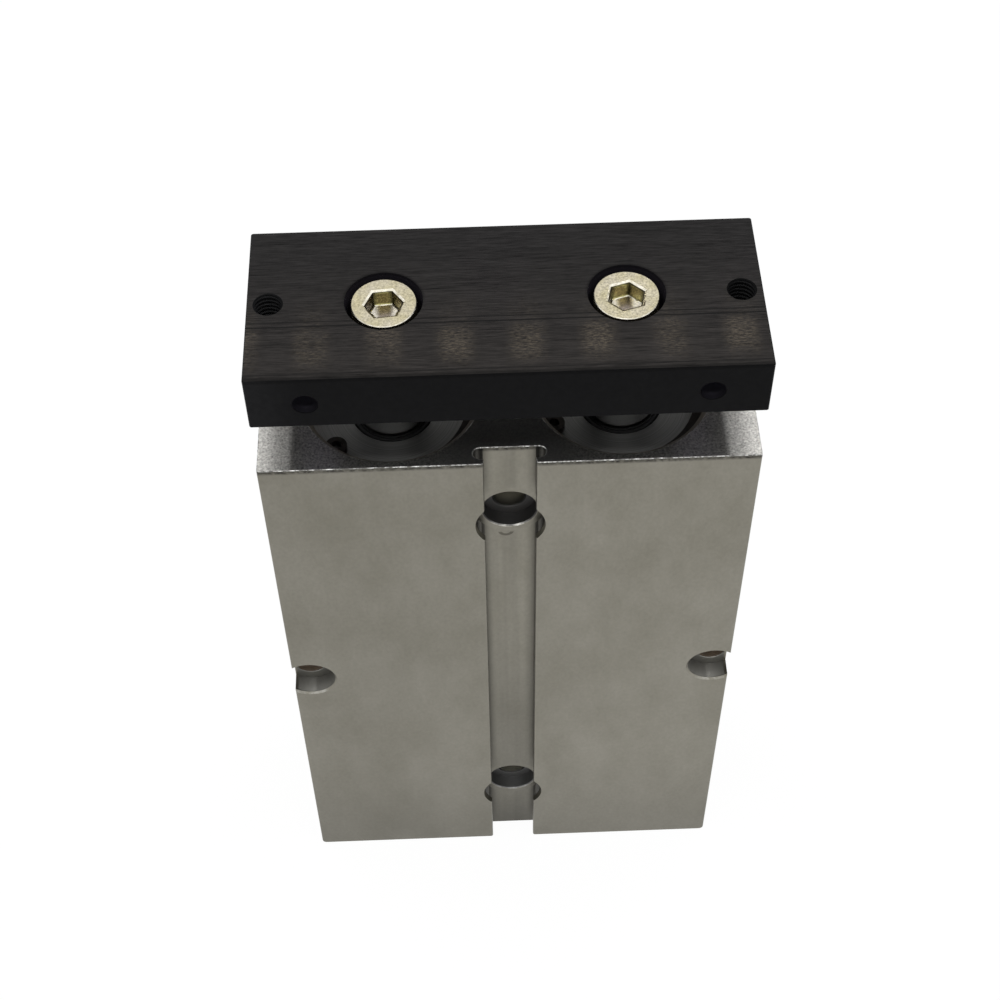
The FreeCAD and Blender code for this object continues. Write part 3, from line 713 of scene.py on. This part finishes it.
def socket_edge_shade(g, at):
    """Share of a screw head taken by the thin dark line of painted shade along the front edge of its
    socket.
    """
    mouth_reach, line = 2.95 * MM, 0.2 * MM
    left_turn, right_turn = -5.0, 17.5
    front_from, front_to = -1.0 * MM, -1.7 * MM
    head_from, head_to = 0.1 * MM, 0.05 * MM
    right = hexagon_reach(g, at.across, at.back, right_turn)
    left = hexagon_reach(g, at.across, at.back, left_turn)
    on_left = g.fade(g.axes(g.place)[0], MM, -MM)
    reach = g.math("ADD", right, g.product(on_left, g.minus(left, right)))
    edge = g.fade(reach, mouth_reach + line / 2, mouth_reach + line, start=1.0, end=0.0)
    return g.product(edge, g.fade(at.back, front_from, front_to), g.fade(at.depth, head_from, head_to))


def screw_places(g):
    """Where a point of a plate screw lies: from its own axis, and below the top of its head."""
    at = SimpleNamespace()
    at.across = g.from_bore()
    _, at.back, height = g.axes(g.place)
    at.radius = g.distance(at.across, at.back)
    at.depth = g.minus(SCREW_TOP, height)
    return at


def socket_shares(g, at):
    """Shares of a screw's head: its socket's walls, rear walls and floor, and the bright bevels that take a
    painted highlight.
    """
    wall_to, wall_from, floor_from, floor_to = 0.75, 0.85, 0.9, 0.95
    foot_low, foot_high = SOCKET_DEPTH - 0.13 * MM, SOCKET_DEPTH - 0.1 * MM
    rear_from, rear_to, highlight_from, highlight_to = -0.45, -0.65, 0.2, -0.2
    tolerance = 0.05
    _, back, up = g.axes(g.facing)
    socket = g.fade(at.radius, SOCKET_REACH, SOCKET_REACH - HAIR)
    deep = g.product(socket, g.fade(at.depth, SOCKET_MOUTH_DEPTH - HAIR, SOCKET_MOUTH_DEPTH))
    share = SimpleNamespace()
    share.wall = g.product(deep, g.fade(up, wall_from, wall_to))
    share.floor = g.product(deep, g.fade(up, floor_from, floor_to))
    share.rear_wall = g.fade(back, rear_from, rear_to)
    foot = g.minus(g.product(deep, g.fade(at.depth, foot_low, foot_high)), share.floor, clamp=True)
    sloping = g.around(up, BEVEL_FACING, tolerance)
    above = g.fade(at.depth, SOCKET_MOUTH_DEPTH, SOCKET_MOUTH_DEPTH - HAIR)
    mouth = g.product(socket, sloping, above, g.fade(back, highlight_from, highlight_to))
    rim = g.product(g.minus(1.0, socket), sloping)
    share.bright = g.math("MAXIMUM", g.math("MAXIMUM", mouth, rim), foot)
    return share


def socket_wall_colour(g, at, rear_wall):
    """Walls of a socket: paler at the rear as painted light, and dark in the corners and just below the
    mouth as painted shade.
    """
    side, rear = rgb(76, 65, 40), rgb(176, 168, 112)
    corner_from, corner_to, corner_shade_tint = 2.55 * MM, 2.85 * MM, 0.3
    top, below, mouth_shade_tint = SOCKET_MOUTH_DEPTH + 0.05 * MM, SOCKET_MOUTH_DEPTH + 0.2 * MM, 0.35
    # Painted light on the rear walls, painted shade in the corners and just below the mouth
    colour = g.mix(rear_wall, side, rear)
    colour = g.tint(colour, g.fade(at.radius, corner_from, corner_to, start=1.0, end=corner_shade_tint))
    return g.tint(colour, g.fade(at.depth, top, below, start=mouth_shade_tint))


def screw_zinc():
    """Pale yellow zinc plating, grainy, with a bright socket mouth and duller walls down in the socket. The
    bright bevels are a painted highlight, and the socket's walls, floor and front edge carry painted light,
    reflection and shade.
    """
    dark, pale, highlight_colour = rgb(206, 197, 163), rgb(212, 204, 182), rgb(255, 251, 238)
    floor_middle, lit_floor_side, edge_shade_colour = rgb(160, 149, 140), rgb(250, 244, 232), rgb(62, 50, 30)
    side_from, side_to = 0.6 * MM, 1.7 * MM
    edge_shade_strength, floor_matt, grain_depth = 0.9, 0.85, 0.012 * MM
    grain_tints, highlight_shares = (0.52, 1.12), (0.1, 1.0)
    g = Graph("screw_zinc")
    at = screw_places(g)
    share = socket_shares(g, at)
    grain = g.noise(3000, detail=3.0, roughness=0.7)
    cloud = g.noise(500, detail=2.0, roughness=0.5)
    patchy_highlight = g.noise(1300, detail=2.0, roughness=0.6)
    colour = g.mix(g.spread(cloud), dark, pale)
    colour = g.mix(share.wall, colour, socket_wall_colour(g, at, share.rear_wall))
    # Painted reflection: the socket floor is pale at its sides and darker in the middle
    beside = g.fade(g.absolute(at.across), side_from, side_to)
    colour = g.mix(share.floor, colour, g.mix(beside, floor_middle, lit_floor_side))
    colour = g.tint(colour, g.spread(grain, *grain_tints))
    # Painted highlight on the bright bevels, made patchy by noise
    colour = g.mix(g.product(share.bright, g.spread(patchy_highlight, *highlight_shares)), colour, highlight_colour)
    # Painted shade: a thin dark line along the front edge of the socket
    colour = g.mix(g.product(socket_edge_shade(g, at), edge_shade_strength), colour, edge_shade_colour)
    metal = g.minus(1.0, g.product(share.floor, beside, floor_matt))
    relief = g.bump(grain, grain_depth)
    return g.set(base_color=colour, metallic=metal, roughness=0.27, normal=relief)


# Other materials


def rod_chrome():
    """Hard chrome plated rod, faintly ringed by grinding."""
    ring_depth = 0.002 * MM
    clear_rough, hazy_rough = 0.14, 0.22
    g = Graph("rod_chrome")
    haze = g.noise((300, 300, 60), detail=3.0, roughness=0.6)
    rings = g.noise((80, 80, 6000), detail=2.0, roughness=0.6)
    rough = g.spread(haze, clear_rough, hazy_rough)
    relief = g.bump(rings, ring_depth)
    return g.set(base_color=rgb(156, 156, 156), metallic=1.0, roughness=rough, normal=relief)


def turned_aluminium():
    """Lathe-turned aluminium: rings about the bore axis on its faces."""
    dark, pale = rgb(112, 112, 110), rgb(130, 130, 128)
    rings_per_metre, ring_depth = 5000, 0.006 * MM
    g = Graph("turned_aluminium")
    node = g.tree.nodes.new("ShaderNodeTexNoise")
    node.noise_dimensions = "1D"
    node.inputs["Scale"].default_value = rings_per_metre
    g.put(g.bore_radius(), node.inputs["W"])
    rings = node.outputs["Fac"]
    colour = g.mix(g.spread(rings), dark, pale)
    relief = g.bump(rings, ring_depth)
    return g.set(base_color=colour, metallic=1.0, roughness=0.5, normal=relief)


def even(name, dark, pale, metallic, roughness, per_metre, depth):
    """Even material with a small grain in its colour, roughness and relief."""
    uneven = 0.05
    g = Graph(name)
    grain = g.noise(per_metre, detail=3.0, roughness=0.6)
    colour = g.mix(g.spread(grain), dark, pale)
    rough = g.spread(grain, roughness - uneven, roughness + uneven)
    return g.set(base_color=colour, metallic=metallic, roughness=rough, normal=g.bump(grain, depth))


def even_materials():
    """Materials of the small pieces, by name."""
    # Darkest and palest colour, metallic share, roughness, grains to the metre, depth of the grain
    kinds = {
        "spring_steel": (rgb(30, 27, 24), rgb(46, 41, 36), 0.8, 0.4, 900, 0.01 * MM),
        "nut_steel": (rgb(120, 118, 112), rgb(150, 148, 140), 1.0, 0.35, 800, 0.01 * MM),
        "bush_bronze": (rgb(120, 92, 60), rgb(150, 118, 78), 1.0, 0.4, 700, 0.008 * MM),
        "seal_rubber": (rgb(16, 16, 16), rgb(26, 26, 26), 0.0, 0.6, 900, 0.01 * MM),
        "bumper_urethane": (rgb(70, 60, 36), rgb(96, 84, 50), 0.0, 0.45, 600, 0.01 * MM),
        "wear_ring_plastic": (rgb(150, 140, 110), rgb(180, 168, 134), 0.0, 0.5, 500, 0.01 * MM),
        "magnet_ferrite": (rgb(40, 40, 42), rgb(60, 60, 62), 0.2, 0.6, 700, 0.01 * MM),
    }
    return {name: even(name, *values) for name, values in kinds.items()}


# Pieces of their own


def round_point(radius, turn, along):
    """Point at a radius, a share of a full turn and a height."""
    angle = 2 * math.pi * turn
    return (radius * math.cos(angle), radius * math.sin(angle), along)


def thread_radius(along, turn, inner, outer, pitch):
    """Radius of a screw thread that rises once a pitch, at a height and a share of a full turn."""
    phase = (along / pitch - turn) % 1.0
    return inner + (outer - inner) * (1 - abs(2 * phase - 1))


def ring_strip(lower, upper, count):
    """Quads between two rings of vertices, by the index of each ring's first vertex."""
    pairs = [(k, (k + 1) % count) for k in range(count)]
    return [(lower + a, lower + b, upper + b, upper + a) for a, b in pairs]


def thread_tap(inner, outer, pitch, length, mouth):
    """Closed screw-shaped solid along +Z from 0. Its crests shrink to the mouth radius at both ends."""
    segments, rows_per_pitch, flare = 40, 8, 0.5
    rows = round(length / pitch * rows_per_pitch)
    verts = []
    for i in range(rows + 1):
        along = length * i / rows
        reach = min(outer, mouth + flare * min(along, length - along))
        for k in range(segments):
            turn = k / segments
            radius = thread_radius(along, turn, inner, reach, pitch)
            verts.append(round_point(radius, turn, along))
    faces = []
    for i in range(rows):
        faces.extend(ring_strip(i * segments, (i + 1) * segments, segments))
    faces.append(tuple(reversed(range(segments))))
    faces.append(tuple(range(rows * segments, (rows + 1) * segments)))
    mesh = bpy.data.meshes.new("tap")
    mesh.from_pydata(verts, [], faces)
    return mesh


def thread_lining(name, crest, root, wall, pitch, length):
    """Closed tube along +Z from 0: smooth outside at the wall radius, a screw thread inside."""
    segments, rows_per_pitch, thinnest = 64, 8, 0.02 * MM
    sharp_angle = math.radians(50)
    rows = round(length / pitch * rows_per_pitch)
    verts = []
    for i in range(rows + 1):
        along = length * i / rows
        run_out = min(1.0, min(along, length - along) / pitch)
        for k in range(segments):
            turn = k / segments
            depth = wall - thread_radius(along, turn, crest, root, pitch)
            verts.append(round_point(wall - max(thinnest, depth * run_out), turn, along))
    for along in (length, 0.0):
        verts.extend(round_point(wall, k / segments, along) for k in range(segments))
    faces = []
    rings = rows + 3
    for i in range(rings):
        faces.extend(ring_strip((i + 1) % rings * segments, i * segments, segments))
    mesh = bpy.data.meshes.new(name)
    mesh.from_pydata(verts, [], faces)
    mesh.polygons.foreach_set("use_smooth", [True] * len(faces))
    mesh.set_sharp_from_angle(angle=sharp_angle)
    return mesh


def make_port_threads(material):
    """Screw threads that line the two air ports, below their chamfered mouths."""
    pitch, thread_depth, mouth_chamfer, air = 0.907 * MM, 0.45 * MM, 0.75 * MM, 0.01 * MM
    for name in ("front_port", "rear_port"):
        port = MOUNTS[name]
        wall = port["dims"]["r_mm"] * MM - air
        length = port["dims"]["length_mm"] * MM - mouth_chamfer
        mesh = thread_lining(f"{name}_thread", wall - thread_depth, wall - air, wall, pitch, length)
        mesh.materials.append(material)
        thread = bpy.data.objects.new(mesh.name, mesh)
        place = Vector((BARREL_HIGH.x - mouth_chamfer, port["pos_m"][1], port["pos_m"][2]))
        thread.matrix_world = Matrix.Translation(place) @ Matrix.Rotation(-math.pi / 2, 4, "Y")
        bpy.context.scene.collection.objects.link(thread)
        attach(thread, "barrel")


def welded_plate():
    """A copy of the end plate's CAD mesh with its coincident points joined, so that it can be cut."""
    weld = 0.001 * MM
    mesh = bpy.data.meshes.new("end_plate_tapped")
    work = bmesh.new()
    work.from_mesh(nodes["end_plate"].data)
    bmesh.ops.remove_doubles(work, verts=work.verts, dist=weld)
    work.to_mesh(mesh)
    work.free()
    return mesh


def add_taps(plate):
    """Cutters for the plate's two tapped holes, set to cut it as real threads."""
    tapped = MOUNTS["plate_face_threads"]["dims"]
    crest_inside, mouth_outside = 0.2 * MM, 0.4 * MM
    crest = tapped["hole_r_mm"] * MM - crest_inside
    root, mouth, pitch = 2.5 * MM, crest + mouth_outside, 0.8 * MM
    length = PLATE_HIGH.z - PLATE_LOW.z
    taps = []
    for side in (-1, 1):
        tap = bpy.data.objects.new("tap", thread_tap(crest, root, pitch, length, mouth))
        tap.location = (side * tapped["spacing_x_mm"] / 2 * MM, 0, PLATE_LOW.z)
        bpy.context.scene.collection.objects.link(tap)
        cut = plate.modifiers.new("tap", "BOOLEAN")
        cut.operation = "DIFFERENCE"
        cut.solver = "EXACT"
        cut.object = tap
        taps.append(tap)
    return taps


def cut_threads(plate):
    """Cut the plate's tapped holes and keep the mesh that this gives."""
    taps = add_taps(plate)
    bpy.context.view_layer.update()
    made = bpy.data.meshes.new_from_object(plate.evaluated_get(bpy.context.evaluated_depsgraph_get()))
    plate.modifiers.clear()
    plate.data = made
    for tap in taps:
        bpy.data.objects.remove(tap)
    if "custom_normal" in made.attributes:
        made.attributes.remove(made.attributes["custom_normal"])


def outside_plate(point):
    """True for a point on the plate's six flat sides or on the bevels between them."""
    bevel = 0.2 * MM
    gaps = [min(point[i] - PLATE_LOW[i], PLATE_HIGH[i] - point[i]) for i in range(3)]
    return min(gaps) < bevel


def dress_plate(mesh, top_material, side_material):
    """Give the plate's top its own finish and shade its holes smooth."""
    level, skin = 0.99, 0.01 * MM
    sharp_angle = math.radians(35)
    mesh.materials.clear()
    mesh.materials.append(side_material)
    mesh.materials.append(top_material)
    for face in mesh.polygons:
        on_skin = [outside_plate(mesh.vertices[i].co) for i in face.vertices]
        on_top = face.normal.z > level and face.center.z > PLATE_HIGH.z - skin
        face.use_smooth = not all(on_skin)
        face.material_index = 1 if on_top else 0
    mesh.set_sharp_from_angle(angle=sharp_angle)


def make_plate(top_material, side_material):
    """The end plate with its two tapped holes cut as real threads, and a milled finish on top."""
    plate = bpy.data.objects.new("end_plate_tapped", welded_plate())
    bpy.context.scene.collection.objects.link(plate)
    cut_threads(plate)
    dress_plate(plate.data, top_material, side_material)
    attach(plate, "carriage")
    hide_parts("end_plate")


make_camera()
make_floor()
make_world()
make_strip_lamps()

finishes = {
    "barrel_aluminium": barrel_aluminium(),
    "plate_black": plate_black(),
    "screw_zinc": screw_zinc(),
    "rod_chrome": rod_chrome(),
    "turned_aluminium": turned_aluminium(),
    **even_materials(),
}
for node in nodes.values():
    for slot in node.material_slots:
        slot.material = finishes[slot.material.name]
make_plate(plate_top(), finishes["plate_black"])
make_port_threads(finishes["barrel_aluminium"])

bpy.context.scene.view_settings.view_transform = "Standard"
